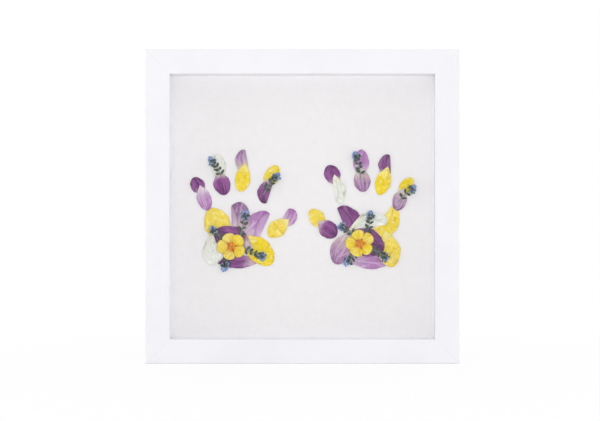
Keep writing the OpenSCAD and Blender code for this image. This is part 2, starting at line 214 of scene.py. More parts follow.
rail_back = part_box("top_rail")[1][1]
for side, nodes, grain in [("rails", ("top_rail", "bottom_rail"), (22, 0.5, 0.7)),
                           ("stiles", ("left_stile", "right_stile"), (0.7, 0.5, 22))]:
    # Satin lacquer: even and slightly cool, with the grain just showing through as long low
    # ripples and the fine orange peel of the spray gun over them
    lacquer = bare_look("satin_lacquered_poplar_" + side)
    grain_lines = add(lacquer, "TexNoise", {"Vector": stretched(lacquer, *grain), "Scale": 1.0,
                                            "Detail": 3.0, "Roughness": 0.6})
    orange_peel = add(lacquer, "TexNoise", {"Vector": stretched(lacquer, 1.4, 1.4, 1.4),
                                            "Scale": 1.0, "Detail": 1.0})
    cloud = add(lacquer, "TexNoise", {"Vector": stretched(lacquer, 35, 35, 35), "Scale": 1.0,
                                      "Detail": 2.0})
    paint = add(lacquer, "Mix", {"Factor": step(lacquer, cloud, 0.35, 0.65),
                                 "A": colour("#f3f2f6"), "B": colour("#f6f5f9")},
                data_type="RGBA")
    # The mitre joint opens a hair and shows as a fine grey line across each corner
    place = add(lacquer, "SeparateXYZ", {"Vector": add(lacquer, "TexCoord").outputs["Object"]})
    across = math_node(lacquer, "ABSOLUTE", place.outputs["X"])
    rise = math_node(lacquer, "ABSOLUTE",
                     math_node(lacquer, "SUBTRACT", place.outputs["Z"], frame_middle))
    off_mitre = math_node(lacquer, "ABSOLUTE", math_node(lacquer, "SUBTRACT", across, rise))
    mitre = step(lacquer, off_mitre, 0.00005, 0.00022, min=1.0, max=0.0)
    paint = add(lacquer, "Mix", {"Factor": math_node(lacquer, "MULTIPLY", mitre, 0.22),
                                 "A": paint, "B": colour("#b9b6c2")}, data_type="RGBA")
    # The back is bare wood inside a ragged edge of overspray
    out = math_node(lacquer, "MAXIMUM", across, rise)
    ragged = add(lacquer, "TexNoise", {"Vector": stretched(lacquer, 3, 3, 3), "Scale": 1.0,
                                       "Detail": 4.0})
    ragged = math_node(lacquer, "MULTIPLY_ADD", ragged, 0.003, out)
    unsprayed = math_node(lacquer, "MULTIPLY",
                          step(lacquer, place.outputs["Y"], rail_back - 0.0006,
                               rail_back - 0.0001),
                          step(lacquer, ragged, 0.1155, 0.1163, min=1.0, max=0.0))
    figure = add(lacquer, "TexNoise", {
        "Vector": stretched(lacquer, *[4.0 if g < 1 else 60.0 for g in grain]),
        "Scale": 1.0, "Detail": 5.0, "Distortion": 0.6})
    wood = add(lacquer, "Mix", {"Factor": step(lacquer, figure, 0.3, 0.7),
                                "A": colour("#cdb894"), "B": colour("#e2d2b2")},
               data_type="RGBA")
    wood = add(lacquer, "Mix", {"Factor": step(lacquer, grain_lines, 0.52, 0.7, max=0.45),
                                "A": wood, "B": colour("#a98f68")}, data_type="RGBA")
    skin = add(lacquer, "Mix", {"Factor": unsprayed, "A": paint, "B": wood}, data_type="RGBA")
    height = math_node(lacquer, "MULTIPLY_ADD", orange_peel, 0.5, grain_lines)
    height = math_node(lacquer, "SUBTRACT", height, math_node(lacquer, "MULTIPLY", mitre, 0.8))
    add(lacquer, "OutputMaterial", {"Surface": add(lacquer, "BsdfPrincipled", {
        "Base Color": skin,
        "Roughness": step(lacquer, math_node(lacquer, "MAXIMUM", unsprayed, cloud), 0.2, 1.0,
                          min=0.36, max=0.7),
        "IOR": 1.5,
        "Normal": add(lacquer, "Bump", {"Height": height, "Distance": 0.000025,
                                        "Strength": 0.7})})})
    dress(lacquer, *nodes)

# V nails: eight folded strips of spring steel that an underpinner has driven across the
# mitres from behind. Only their bright cut ends show.
cut_steel = bare_look("sheared_spring_steel")
burr = add(cut_steel, "TexNoise", {"Vector": stretched(cut_steel, 0.4, 0.4, 0.4), "Scale": 1.0,
                                   "Detail": 2.0})
add(cut_steel, "OutputMaterial", {"Surface": add(cut_steel, "BsdfPrincipled", {
    "Base Color": add(cut_steel, "Mix", {"Factor": step(cut_steel, burr, 0.4, 0.7),
                                         "A": colour("#8f9194"), "B": colour("#b9bbbd")},
                      data_type="RGBA"),
    "Metallic": 1.0,
    "Roughness": step(cut_steel, burr, 0.2, 0.8, min=0.3, max=0.55),
    "Normal": add(cut_steel, "Bump", {"Height": burr, "Distance": 0.00004})})})
dress(cut_steel, "corner_v_nails")

# Glass: a 2 mm pane of clear picture glass behind the lip, cut on all four sides. It lets
# nearly all light through and mirrors a little of the room when seen aslant.
glazing = bare_look("clear_picture_glass")
smear = add(glazing, "TexNoise", {"Vector": stretched(glazing, 70, 70, 70), "Scale": 1.0,
                                  "Detail": 3.0})
# Only the outer side of each face mirrors, so that a pane mirrors twice and no more. Its IOR
# is under the 1.52 of bare glass, because the pictured pane hardly mirrors at all
mirror = add(glazing, "BsdfAnisotropic", {"Color": colour("#f4f8f6"),
                                          "Roughness": step(glazing, smear, 0.4, 0.7,
                                                            min=0.02, max=0.05)})
clear = add(glazing, "BsdfTransparent", {"Color": colour("#ffffff")})
outside = math_node(glazing, "SUBTRACT", 1.0,
                    add(glazing, "NewGeometry").outputs["Backfacing"])
looked_at = math_node(glazing, "MULTIPLY", outside,
                      add(glazing, "LightPath").outputs["Is Camera Ray"])
sheen = math_node(glazing, "MULTIPLY", add(glazing, "Fresnel", {"IOR": 1.3}), looked_at)
add(glazing, "OutputMaterial", {"Surface": add(glazing, "MixShader", {
    0: sheen, 1: clear, 2: mirror})})
dress(glazing, "glass_pane")

# Spacers: four strips of wood painted matt white that hold the card off the glass, flush
# with the lip so that they look like the inner wall of the box.
spacer_white = bare_look("matt_white_painted_strip")
tooth = add(spacer_white, "TexNoise", {"Vector": stretched(spacer_white, 0.5, 0.5, 0.5),
                                       "Scale": 1.0, "Detail": 3.0})
blotch = add(spacer_white, "TexNoise", {"Vector": stretched(spacer_white, 14, 14, 14),
                                        "Scale": 1.0, "Detail": 2.0})
add(spacer_white, "OutputMaterial", {"Surface": add(spacer_white, "BsdfPrincipled", {
    "Base Color": add(spacer_white, "Mix", {"Factor": blotch, "A": colour("#f6f5fa"),
                                            "B": colour("#fbfafe")}, data_type="RGBA"),
    "Roughness": 0.72,
    "Normal": add(spacer_white, "Bump", {"Height": tooth, "Distance": 0.00003})})})
dress(spacer_white, "spacer_top", "spacer_bottom", "spacer_left", "spacer_right")

# Card: a sheet of heavy cotton rag board, mould made. It is a warm grey white with a soft
# tooth, faint clouds where the pulp lay thicker and a few flecks of fibre.
rag = bare_look("cotton_rag_board")
pulp = add(rag, "TexNoise", {"Vector": stretched(rag, 5, 5, 5), "Scale": 1.0, "Detail": 4.0,
                             "Roughness": 0.55})
felt = add(rag, "TexNoise", {"Vector": stretched(rag, 0.9, 0.9, 0.9), "Scale": 1.0,
                             "Detail": 3.0})
fleck_cells = add(rag, "TexVoronoi", {"Vector": stretched(rag, 7, 7, 7), "Scale": 1.0,
                                      "Randomness": 1.0})
fleck = step(rag, fleck_cells.outputs["Distance"], 0.03, 0.07, min=0.22, max=0.0)
rag_colour = add(rag, "Mix", {"Factor": step(rag, pulp, 0.3, 0.7), "A": colour("#f1eff0"),
                              "B": colour("#f3f1f2")}, data_type="RGBA")
rag_colour = add(rag, "Mix", {"Factor": fleck, "A": rag_colour, "B": colour("#b8a890")},
                 data_type="RGBA")
add(rag, "OutputMaterial", {"Surface": add(rag, "BsdfPrincipled", {
    "Base Color": rag_colour,
    "Roughness": 0.88,
    "Normal": add(rag, "Bump", {"Height": math_node(rag, "MULTIPLY_ADD", pulp, 0.5, felt),
                                "Distance": 0.00006, "Strength": 0.6})})})
dress(rag, "art_card")

# Backing board: 3 mm hardboard, sawn to size, with its smooth pressed face outwards. It is
# a warm brown with fine matted fibres and a slight polish.
hardboard = bare_look("smooth_faced_hardboard")
fibre = add(hardboard, "TexNoise", {"Vector": stretched(hardboard, 2.2, 0.5, 0.7),
                                    "Scale": 1.0, "Detail": 5.0, "Roughness": 0.65,
                                    "Distortion": 0.8})
press = add(hardboard, "TexNoise", {"Vector": stretched(hardboard, 9, 9, 9), "Scale": 1.0,
                                    "Detail": 5.0, "Roughness": 0.65})
speck = add(hardboard, "TexVoronoi", {"Vector": stretched(hardboard, 2.5, 2.5, 2.5),
                                      "Scale": 1.0})
board_brown = add(hardboard, "Mix", {"Factor": step(hardboard, press, 0.3, 0.7),
                                     "A": colour("#8f6848"), "B": colour("#9a7250")},
                  data_type="RGBA")
board_brown = add(hardboard, "Mix", {"Factor": step(hardboard, fibre, 0.42, 0.68, max=0.6),
                                     "A": board_brown, "B": colour("#6e4c33")},
                  data_type="RGBA")
board_brown = add(hardboard, "Mix", {
    "Factor": step(hardboard, speck.outputs["Distance"], 0.05, 0.18, min=0.5, max=0.0),
    "A": board_brown, "B": colour("#54382a")}, data_type="RGBA")
add(hardboard, "OutputMaterial", {"Surface": add(hardboard, "BsdfPrincipled", {
    "Base Color": board_brown,
    "Roughness": step(hardboard, fibre, 0.3, 0.8, min=0.42, max=0.62),
    "Normal": add(hardboard, "Bump", {"Height": fibre, "Distance": 0.00006})})})
dress(hardboard, "backing_board")

# Pressed petals: each is one real petal dried flat between papers and glued to the card, so
# it is a crinkled film that lies over what was glued before it, with its margins lifting.
card_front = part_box("art_card")[0][1]
card_low, card_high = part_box("art_card")
cell = 0.00025
lie = np.zeros((int((card_high[2] - card_low[2]) / cell) + 1,
                int((card_high[0] - card_low[0]) / cell) + 1))


def solids_of(name):
    """The separate solids of a CAD node, each as its corner points."""
    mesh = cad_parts[name].data
    points = np.zeros(3 * len(mesh.vertices))
    mesh.vertices.foreach_get("co", points)
    points = np.round(points.reshape(-1, 3), 6)
    first = {}
    group = [first.setdefault(tuple(p), i) for i, p in enumerate(points)]

    def root(i):
        while group[i] != i:
            group[i] = group[group[i]]
            i = group[i]
        return i

    for face in mesh.polygons:
        for corner in face.vertices:
            group[root(corner)] = root(face.vertices[0])
    members = {}
    for i in range(len(points)):
        members.setdefault(root(i), []).append(i)
    solids = [np.unique(points[m], axis=0) for m in members.values()]
    return sorted(solids, key=lambda s: (-round(s[:, 1].min(), 5), *np.round(s.mean(0), 4)))


def cells_at(x, z):
    """Places on the card as fractions of cells across and up."""
    return (x - card_low[0]) / cell, (z - card_low[2]) / cell


def read_lie(field, column, row):
    """The height at a place of a field of cells, between its four nearest cells."""
    column = np.clip(column, 0, field.shape[1] - 1.001)
    row = np.clip(row, 0, field.shape[0] - 1.001)
    i, j = row.astype(int), column.astype(int)
    up, right = row - i, column - j
    low = field[i, j] * (1 - right) + field[i, j + 1] * right
    high = field[i + 1, j] * (1 - right) + field[i + 1, j + 1] * right
    return low * (1 - up) + high * up


def around(field, best):
    """Each cell with its four neighbours, put together by best."""
    edge = np.pad(field, 1, mode="edge")
    near = [edge[1:-1, 1:-1], edge[:-2, 1:-1], edge[2:, 1:-1], edge[1:-1, :-2], edge[1:-1, 2:]]
    return best(near, axis=0)


def settle(x, z, stiff=6):
    """Height at which a film comes to rest: over what lies there, without its sharp steps."""
    column, row = cells_at(x, z)
    reach = 4 + 2 * stiff
    top, left = max(int(row.min()) - reach, 0), max(int(column.min()) - reach, 0)
    part = lie[top:int(row.max()) + reach, left:int(column.max()) + reach]
    smooth = part
    for _ in range(3):
        smooth = around(smooth, np.max)
    for _ in range(stiff):
        smooth = around(smooth, np.mean)
    return read_lie(np.maximum(smooth, part), column - left, row - top)


def folds(x, y, pitch, seed):
    """A crumpled film, 0 to 1: facets that each tip their own way, with a few sharp ridges."""
    rng = np.random.default_rng(seed)
    x, y = x + 0.25 * pitch * np.sin(y / pitch * 1.7), y + 0.25 * pitch * np.sin(x / pitch * 2.3)
    low = np.array([x.min(), y.min()]) - pitch
    size = np.array([x.max(), y.max()]) + pitch - low
    count = int(size.prod() / pitch ** 2) + 3
    spots = low + size * rng.uniform(0, 1, (count, 2))
    aside, along = x[..., None] - spots[:, 0], y[..., None] - spots[:, 1]
    far = np.hypot(aside, along) / pitch
    near = np.partition(far, 1, axis=-1)
    pull = np.exp(-11 * (far - near[..., :1]))
    tip = rng.normal(0, 1, (3, count))
    facet = (pull * (tip[0] * aside + tip[1] * along)).sum(-1) / pull.sum(-1) / pitch
    sharp = np.clip((pull * tip[2]).sum(-1) / pull.sum(-1), 0, 1)
    line = np.clip(1 - 2.5 * (near[..., 1] - near[..., 0]), 0, 1)
    return np.clip(0.4 + 0.6 * facet + 0.8 * sharp * line, 0, 1)


def sheet(top, under, closed=False):
    """Corner points and faces of a film: its top as a grid of points, and its thickness."""
    rows, columns = top.shape[:2]
    if under.ndim == 2:
        under = np.stack([0 * under, under, 0 * under], axis=2)
    bottom = top + under
    points = np.concatenate([top.reshape(-1, 3), bottom.reshape(-1, 3)])
    spot = np.arange(rows * columns).reshape(rows, columns)
    if closed:
        spot = np.concatenate([spot, spot[:, :1]], axis=1)
    a, b, c, d = spot[:-1, :-1], spot[:-1, 1:], spot[1:, 1:], spot[1:, :-1]
    over = np.stack([a, b, c, d], axis=2).reshape(-1, 4)
    faces = [over, over[:, ::-1] + rows * columns]
    rims = [spot[0], spot[-1][::-1]]
    if not closed:
        rims += [spot[:, 0][::-1], spot[:, -1]]
    for rim in rims:
        faces.append(np.stack([rim[1:], rim[:-1], rim[:-1] + rows * columns,
                               rim[1:] + rows * columns], axis=1))
    return points, np.concatenate(faces).tolist()


def build(name, parts, looks, node, body):
    """One piece from parts of (points, faces, run, make, look's number), in a node's place."""
    points, faces, runs, makes, numbers = [], [], [], [], []
    count = 0
    for part_points, part_faces, run, make, number in parts:
        points.append(part_points)
        faces += [[corner + count for corner in face] for face in part_faces]
        runs.append(run)
        makes.append(make)
        numbers += [number] * len(part_faces)
        count += len(part_points)
    mesh = bpy.data.meshes.new(name)
    mesh.from_pydata(np.concatenate(points).tolist(), [], faces)
    for label, values in (("film_run", runs), ("film_make", makes)):
        mesh.attributes.new(label, "FLOAT_VECTOR", "POINT").data.foreach_set(
            "vector", np.concatenate(values).astype(np.float32).ravel())
    mesh.polygons.foreach_set("material_index", numbers)
    mesh.polygons.foreach_set("use_smooth", [True] * len(mesh.polygons))
    for look in looks:
        mesh.materials.append(look)
    mesh.update()
    piece = bpy.data.objects.new(name, mesh)
    scene.collection.objects.link(piece)
    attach(piece, body)
    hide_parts(node)
    return piece


def film_coordinates(look):
    """How far a place is across the veins, up the film and out to its margin; and the film's
    own number, the rise of its creases there and of its pleats."""
    run = add(look, "SeparateXYZ", {
        "Vector": add(look, "Attribute", attribute_name="film_run").outputs["Vector"]})
    make = add(look, "SeparateXYZ", {
        "Vector": add(look, "Attribute", attribute_name="film_make").outputs["Vector"]})
    return run.outputs, make.outputs


def petal_look(name, foot, body, tip, vein, crease, light, veins=0.5, foot_ends=0.45,
               crease_shade=0.6, raised=0.4, rough=0.5, bruise_and_fold_shade=0.22):
    """Dried petal: a film of cells with the sheen of waxed paper. Its colour runs from the
    pale foot to the tip, and darker veins fan out over it. The hollows of its creases are
    darkened with painted shade, and the crests and pleats are lightened with a painted highlight.
    The same pale colour shows the paler underside of a folded flap."""
    look = bare_look(name)
    run, make = film_coordinates(look)
    patch = add(look, "TexNoise", {"Vector": stretched(look, 4, 4, 4), "Scale": 1.0,
                                   "Detail": 3.0})
    along = math_node(look, "MULTIPLY_ADD", patch, 0.5, run["Y"])
    along = math_node(look, "SUBTRACT", along, 0.25)
    tone = add(look, "Mix", {"Factor": step(look, along, 0.02, foot_ends),
                             "A": colour(foot), "B": colour(body)}, data_type="RGBA")
    tone = add(look, "Mix", {"Factor": step(look, along, foot_ends, 1.05), "A": tone,
                             "B": colour(tip)}, data_type="RGBA")
    # Veins: the level lines of a noise drawn out along the petal branch as real ones do
    fan = add(look, "CombineXYZ", {
        "X": math_node(look, "MULTIPLY", run["X"], 5.0),
        "Y": math_node(look, "MULTIPLY", run["Y"], 1.1),
        "Z": math_node(look, "MULTIPLY", make["X"], 40.0)})
    streak = add(look, "TexNoise", {"Vector": fan, "Scale": 1.0, "Detail": 3.0,
                                    "Roughness": 0.55})
    off_vein = math_node(look, "PINGPONG", math_node(look, "MULTIPLY", streak, 7.0), 0.5)
    lines = step(look, off_vein, 0.0, 0.2, min=1.0, max=0.0)
    wash = step(look, streak, 0.35, 0.65)
    tone = add(look, "Mix", {
        "Factor": math_node(look, "MULTIPLY", math_node(look, "MAXIMUM", lines, math_node(
            look, "MULTIPLY", wash, 0.5)), veins),
        "A": tone, "B": colour(vein)}, data_type="RGBA")
    # Painted shade: the hollows of the creases take the darker crease colour
    tone = add(look, "Mix", {"Factor": step(look, make["Y"], 0.35, 0.0, min=0.0, max=crease_shade),
                             "A": tone, "B": colour(crease)}, data_type="RGBA")
    # Painted highlight: the crests of the creases and the pleats take the pale colour, which on a folded flap also
    # stands for its paler underside
    crest = math_node(look, "MAXIMUM", step(look, make["Y"], 0.45, 0.95), make["Z"])
    tone = add(look, "Mix", {"Factor": math_node(look, "MULTIPLY", crest, raised), "A": tone,
                             "B": colour(light)}, data_type="RGBA")
    # Bruised margin, a shade darker and browner than the rest
    edge = step(look, math_node(look, "MAXIMUM", math_node(look, "ABSOLUTE", run["Z"]),
                                run["Y"]), 0.93, 1.0, max=bruise_and_fold_shade)
    tone = add(look, "Mix", {"Factor": edge, "A": tone, "B": colour(crease)},
               data_type="RGBA")
    own_shade = add(look, "HueSaturation", {
        "Color": tone,
        "Saturation": math_node(look, "MULTIPLY_ADD", make["X"], 0.16, 0.94),
        "Value": math_node(look, "MULTIPLY_ADD", patch, 0.3, 0.87)})
    cells = add(look, "TexNoise", {"Vector": stretched(look, 0.35, 0.35, 0.35), "Scale": 1.0,
                                   "Detail": 2.0})
    height = math_node(look, "MULTIPLY_ADD", lines, 0.8, cells)
    add(look, "OutputMaterial", {"Surface": add(look, "BsdfPrincipled", {
        "Base Color": own_shade,
        "Roughness": step(look, cells, 0.3, 0.7, min=rough - 0.08, max=rough + 0.12),
        "IOR": 1.45,
        "Sheen Weight": 0.12,
        "Normal": add(look, "Bump", {"Height": height, "Distance": 0.00005,
                                     "Strength": 0.8})})})
    return look


plum = petal_look("plum_petal_dried", "#ebdbdc", "#864588", "#622b64", "#4a1a4c", "#421847",
                  "#ae76ae", veins=0.45, crease_shade=0.55, raised=0.5, bruise_and_fold_shade=0.5)
mauve = petal_look("mauve_petal_dried", "#f1e6d0", "#ad82ae", "#824d86", "#703f77", "#6a3b70",
                   "#dcc4dc", veins=0.6, foot_ends=0.75, crease_shade=0.5, raised=0.55)
lilac = petal_look("lilac_petal_dried", "#f0e7ea", "#b98bbd", "#a672ac", "#8a5493", "#824e89",
                   "#e4cde4", veins=0.4, foot_ends=0.6, crease_shade=0.4, raised=0.55)
yellow = petal_look("yellow_petal_dried", "#f5ea94", "#f2d83c", "#f4dc46", "#dcb324", "#c8981a",
                    "#fbf2a6", veins=0.3, crease_shade=0.6, raised=0.7)
white = petal_look("white_petal_dried", "#f2ecc4", "#e9ebe0", "#eef0ea", "#a8ae9c", "#a9ad9b",
                   "#f8f9f4", veins=0.4, crease_shade=0.7, raised=0.7)

# How each kind of petal dries: depth and pitch of its creases, drawn out so many times along
# the petal, the lift of its margins and the number and height of its long pleats
drying = {plum: (0.00024, 0.0030, 3.2, 0.00035, 2, 0.0005),
          mauve: (0.00030, 0.0030, 2.6, 0.00040, 3, 0.0004),
          lilac: (0.00018, 0.0028, 3.5, 0.00025, 2, 0.0004),
          yellow: (0.00060, 0.0026, 1.15, 0.00035, 0, 0.0),
          white: (0.00038, 0.0034, 1.8, 0.00045, 2, 0.0005)}
film = 0.00016


def lay_film(foot, tip, half_width, seed, habit, grain=0.00042, notch=0.0, broad=1.25,
             flap=None):
    """Lays one petal from its foot to its tip over what is there, and raises the lie by it.
    A flap (side, place, slant) is a margin folded over along a straight line."""
    crease_depth, pitch, drawn_out, lift, pleats, pleat_height = habit
    rng = np.random.default_rng(seed)
    length = np.linalg.norm(tip - foot)
    up = (tip - foot) / length
    aside = np.array([up[1], -up[0]])
    turn = np.linspace(0.06, math.pi - 0.05, int(length / grain) + 1)
    u = ((1 - np.cos(turn)) / 2)[:, None]
    sway, swing, lean, cup = rng.uniform((-1, 0, -0.03, -1), (1, 6, 0.03, 1))

    def half(u, v):
        """Half the petal's width at u, with a wavy margin that differs on its two sides."""
        plain = np.sin(math.pi * u ** broad) ** (0.85 - 0.35 * u)
        waves = 0
        for k, size in ((1.9, 0.03), (4.3, 0.014), (9.7, 0.008)):
            waves = waves + size * np.sin(k * 2 * math.pi * u * (1 + 0.2 * sway) + swing * k
                                          + 2.4 * np.sign(v))
        return half_width * plain * (1 + waves)

    def kept(u):
        """Share of the half width on the flap's side that stays face up."""
        if not flap:
            return 1 + 0 * u
        return np.clip(half_width * (flap[1] + flap[2] * (u - 0.5)) / half(u, side), 0.1, 0.97)

    # Columns of points: over the part that lies face up, round the fold and over the flap
    side = flap[0] if flap else 1
    keep, reach = kept(u), half(u, side)
    bend = np.minimum(0.00014, 0.2 * (1 - keep) * reach) + 1e-9
    flat_columns = int(1.7 * half_width / grain if flap else 2 * half_width / grain)
    w = [(keep + 1) * np.linspace(0, 1, flat_columns + 1) - 1]
    if flap:
        w.append(keep + math.pi * bend / reach * np.linspace(0, 1, 7)[1:])
        w.append(w[1][:, -1:] + (1 - w[1][:, -1:])
                 * np.linspace(0, 1, int(0.6 * half_width / grain) + 2)[1:])
    w = np.concatenate(w, axis=1)
    v = (side * w)[:, ::side]
    span = half(u, v)
    over = np.where(side * v > 0, np.abs(v) * span - keep * reach, -1)
    turned = np.clip(over / bend, 0, math.pi)
    out = np.where(over > 0, side * (keep * reach + bend * np.sin(turned)
                                     - np.maximum(over - math.pi * bend, 0)), v * span)
    landed = out / span

    rise = (u - 0.5) * length * (1 - notch * np.exp(-((v / 0.35) ** 2)) * u ** 6)
    middle = (foot + tip) / 2
    x = middle[0] + aside[0] * out + up[0] * rise
    z = middle[1] + aside[1] * out + up[1] * rise
    flow = v * span + 0.0006 * np.sin(rise / 0.004 + swing)
    crease = folds(rise / drawn_out + 0 * flow, flow, pitch, seed + 1)
    fine = folds(rise / drawn_out + 0 * flow, flow, pitch * 0.5, seed + 2)
    ribs = 0.5 + 0.5 * np.cos(v * 19 + 1.5 * np.sin(u * 5 + swing))
    relief = 0.6 * crease + 0.4 * fine
    ridge = 0 * relief
    for spot, start, bow in rng.uniform((-0.65, 0, -0.3), (0.65, 0.3, 0.3), (pleats, 3)):
        off = (v - spot - bow * (u - 0.5)) * span
        ridge = np.maximum(ridge, np.exp(-(off / 0.0005) ** 2) * np.clip((u - start) * 5, 0, 1)
                           * np.clip((0.97 - u) * 5, 0, 1))
    # A pressed flap and the petal under it lie flat on each other
    free = np.clip((2 * keep - 1 - side * v) / 0.08, 0, 1) if flap else 1
    flapped = turned / math.pi
    ridge = ridge * free
    margin = np.maximum(np.abs(v), u ** 3) ** 4
    wave = 0.5 + 0.5 * np.sin(u * 9 + swing + 2 * v)
    height = (settle(x, z) + 0.00004
              + crease_depth * (relief ** 1.2 * free + 0.3 * fine * flapped)
              + lift * margin * wave + pleat_height * ridge
              + 0.00004 * ribs * np.sin(math.pi * u) * free
              + 0.00012 * (1 + cup) * (1 - landed ** 2))
    thick = film * (1.25 - 0.5 * margin)
    top = np.stack([x, card_front - height - thick - bend * (1 - np.cos(turned)), z], axis=2)
    under = np.stack([side * np.sin(turned) * aside[0], np.cos(turned),
                      side * np.sin(turned) * aside[1]], axis=2) * thick[..., None]

    # Raise the lie under the petal
    column, row = cells_at(x, z)
    low_row, high_row = int(row.min()), int(row.max()) + 2
    low_column, high_column = int(column.min()), int(column.max()) + 2
    grid_row, grid_column = np.mgrid[low_row:high_row, low_column:high_column]
    cell_x = card_low[0] + grid_column * cell - middle[0]
    cell_z = card_low[2] + grid_row * cell - middle[1]
    cell_u = (cell_x * up[0] + cell_z * up[1]) / length + 0.5
    cell_out = cell_x * aside[0] + cell_z * aside[1]
    inside_u = np.clip(cell_u, 0.002, 0.998)
    cell_w = side * cell_out / half(inside_u, np.sign(cell_out))
    cell_keep = kept(inside_u)
    inside = (cell_w >= -1) & (cell_w <= cell_keep) & (cell_u > 0) & (cell_u < 1)
    place = (np.arccos(1 - 2 * inside_u) - turn[0]) / (turn[1] - turn[0])
    across = (np.clip(cell_w, -1, cell_keep) + 1) / (cell_keep + 1) * flat_columns
    if side < 0:
        across = v.shape[1] - 1 - across
    raised = read_lie(height + thick, across, place)
    if flap:
        raised = raised + np.where(cell_w > 2 * cell_keep - 1, 0.00028 + film, 0)
    part = lie[low_row:high_row, low_column:high_column]
    part[inside] = np.maximum(part, raised)[inside]

    fan = v * np.minimum(1, span / half_width / (0.25 + u * 0.75)) + 0 * u
    points, faces = sheet(top, under)
    # The line of the fold is darkened with painted shade, and the petal's paler underside shows on the flap
    bruise_and_fold_shade = relief * (1 - 0.8 * np.exp(-((over / 0.0003) ** 2))) if flap else relief
    run = np.stack([fan, u + 0 * v, v + 0 * u], axis=2).reshape(-1, 3)
    make = np.stack([0 * relief + rng.uniform(), bruise_and_fold_shade, np.maximum(ridge, 0.55 * flapped)],
                    axis=2).reshape(-1, 3)
    return points, faces, np.tile(run, (2, 1)), np.tile(make, (2, 1))


def ends_of(solid):
    """Foot, tip, half width and shape of a petal, from the corner points of its solid."""
    flat = np.unique(np.round(solid[:, [0, 2]], 6), axis=0)
    gaps = np.linalg.norm(flat[:, None] - flat[None], axis=2)
    foot, tip = flat[list(np.unravel_index(gaps.argmax(), gaps.shape))]
    length = np.linalg.norm(tip - foot)
    up = (tip - foot) / length
    along = (flat - foot) @ up / length
    out = np.abs((flat - foot) @ np.array([up[1], -up[0]]))
    widest = along[out > 0.97 * out.max()].mean()
    if widest < 0.5:
        foot, tip, widest = tip, foot, 1 - widest
    return foot, tip, out.max(), math.log(0.5) / math.log(widest)


# Petals of a finger: the one at the tip goes down first and the other laps over its foot
finger_petals = {
    "left": {"thumb": (lilac, yellow), "index": (yellow, plum), "middle": (mauve, yellow),
             "ring": (white, plum), "little": (plum, lilac)},
    "right": {"thumb": (yellow, plum), "index": (plum, white), "middle": (lilac, mauve),
              "ring": (plum, yellow), "little": (yellow, mauve)}}
palm_petals = {"left": (yellow, plum, lilac, white, mauve, yellow, plum),
               "right": (plum, lilac, yellow, mauve, white, yellow, plum)}
laid = []
for side in ("left", "right"):
    for finger, kinds in finger_petals[side].items():
        node = side + "_" + finger + "_petals"
        laid += [(solid, kind, node, i) for i, (solid, kind) in
                 enumerate(zip(solids_of(node), kinds), 1)]
    node = side + "_palm_petals"
    laid += [(solid, kind, node, i) for i, (solid, kind) in
             enumerate(zip(solids_of(node), palm_petals[side]), 1)]
laid.sort(key=lambda petal: -round(petal[0][:, 1].min(), 5))
# Petals that were pressed with one margin folded over: its side, and the fold's place as a
# share of the half width and its slant
flaps = {"left_palm_petals_3": (1, 0.45, -0.5), "left_palm_petals_5": (-1, 0.5, 0.4),
         "left_middle_petals_1": (1, 0.4, -0.4), "left_thumb_petals_1": (-1, 0.5, 0.3),
         "left_index_petals_2": (-1, 0.45, -0.3), "left_palm_petals_2": (1, 0.35, 0.2),
         "right_palm_petals_1": (-1, 0.4, -0.4), "right_palm_petals_5": (1, 0.3, 0.3),
         "right_ring_petals_1": (1, 0.5, -0.4), "right_index_petals_2": (1, 0.45, 0.4),
         "right_palm_petals_3": (-1, 0.45, -0.3)}
for seed, (solid, kind, node, number) in enumerate(laid):
    foot, tip, half_width, broad = ends_of(solid)
    petal = lay_film(foot, tip, half_width, 100 + 7 * seed, drying[kind], broad=broad,
                     flap=flaps.get(node + "_" + str(number)))
    build(node + "_" + str(number), [petal + (0,)], [kind], node, "frame")

# Sprigs: the flower stalks of a small meadow plant, pressed with their leaflets on. Each is
# a thin ridged stem that lies over the petals, with folded leaflets and a few shut buds.
def skin(rings):
    """Points and faces of a closed solid through rings of points, capped at both ends."""
    count, sides = rings.shape[:2]
    spot = np.arange(count * sides).reshape(count, sides)
    spot = np.concatenate([spot, spot[:, :1]], axis=1)
    a, b, c, d = spot[:-1, :-1], spot[:-1, 1:], spot[1:, 1:], spot[1:, :-1]
    faces = np.stack([a, b, c, d], axis=2).reshape(-1, 4).tolist()
    faces += [spot[0, :-1][::-1].tolist(), spot[-1, :-1].tolist()]
    return rings.reshape(-1, 3), faces


def heap(x, z, radius, top):
    """Raises the lie to the height top in a round patch."""
    column, row = cells_at(np.array(x), np.array(z))
    reach = int(radius / cell) + 2
    i, j = int(row), int(column)
    part = lie[i - reach:i + reach + 1, j - reach:j + reach + 1]
    near = np.hypot(*(np.mgrid[-reach:reach + 1, -reach:reach + 1])) * cell <= radius
    part[near] = np.maximum(part, top)[near]


def marked(points, faces, run, seed, relief, number):
    """A part for build, with its film coordinates."""
    make = np.zeros((len(points), 3))
    make[:, 0], make[:, 1] = seed, relief
    return points, faces, run, make, number


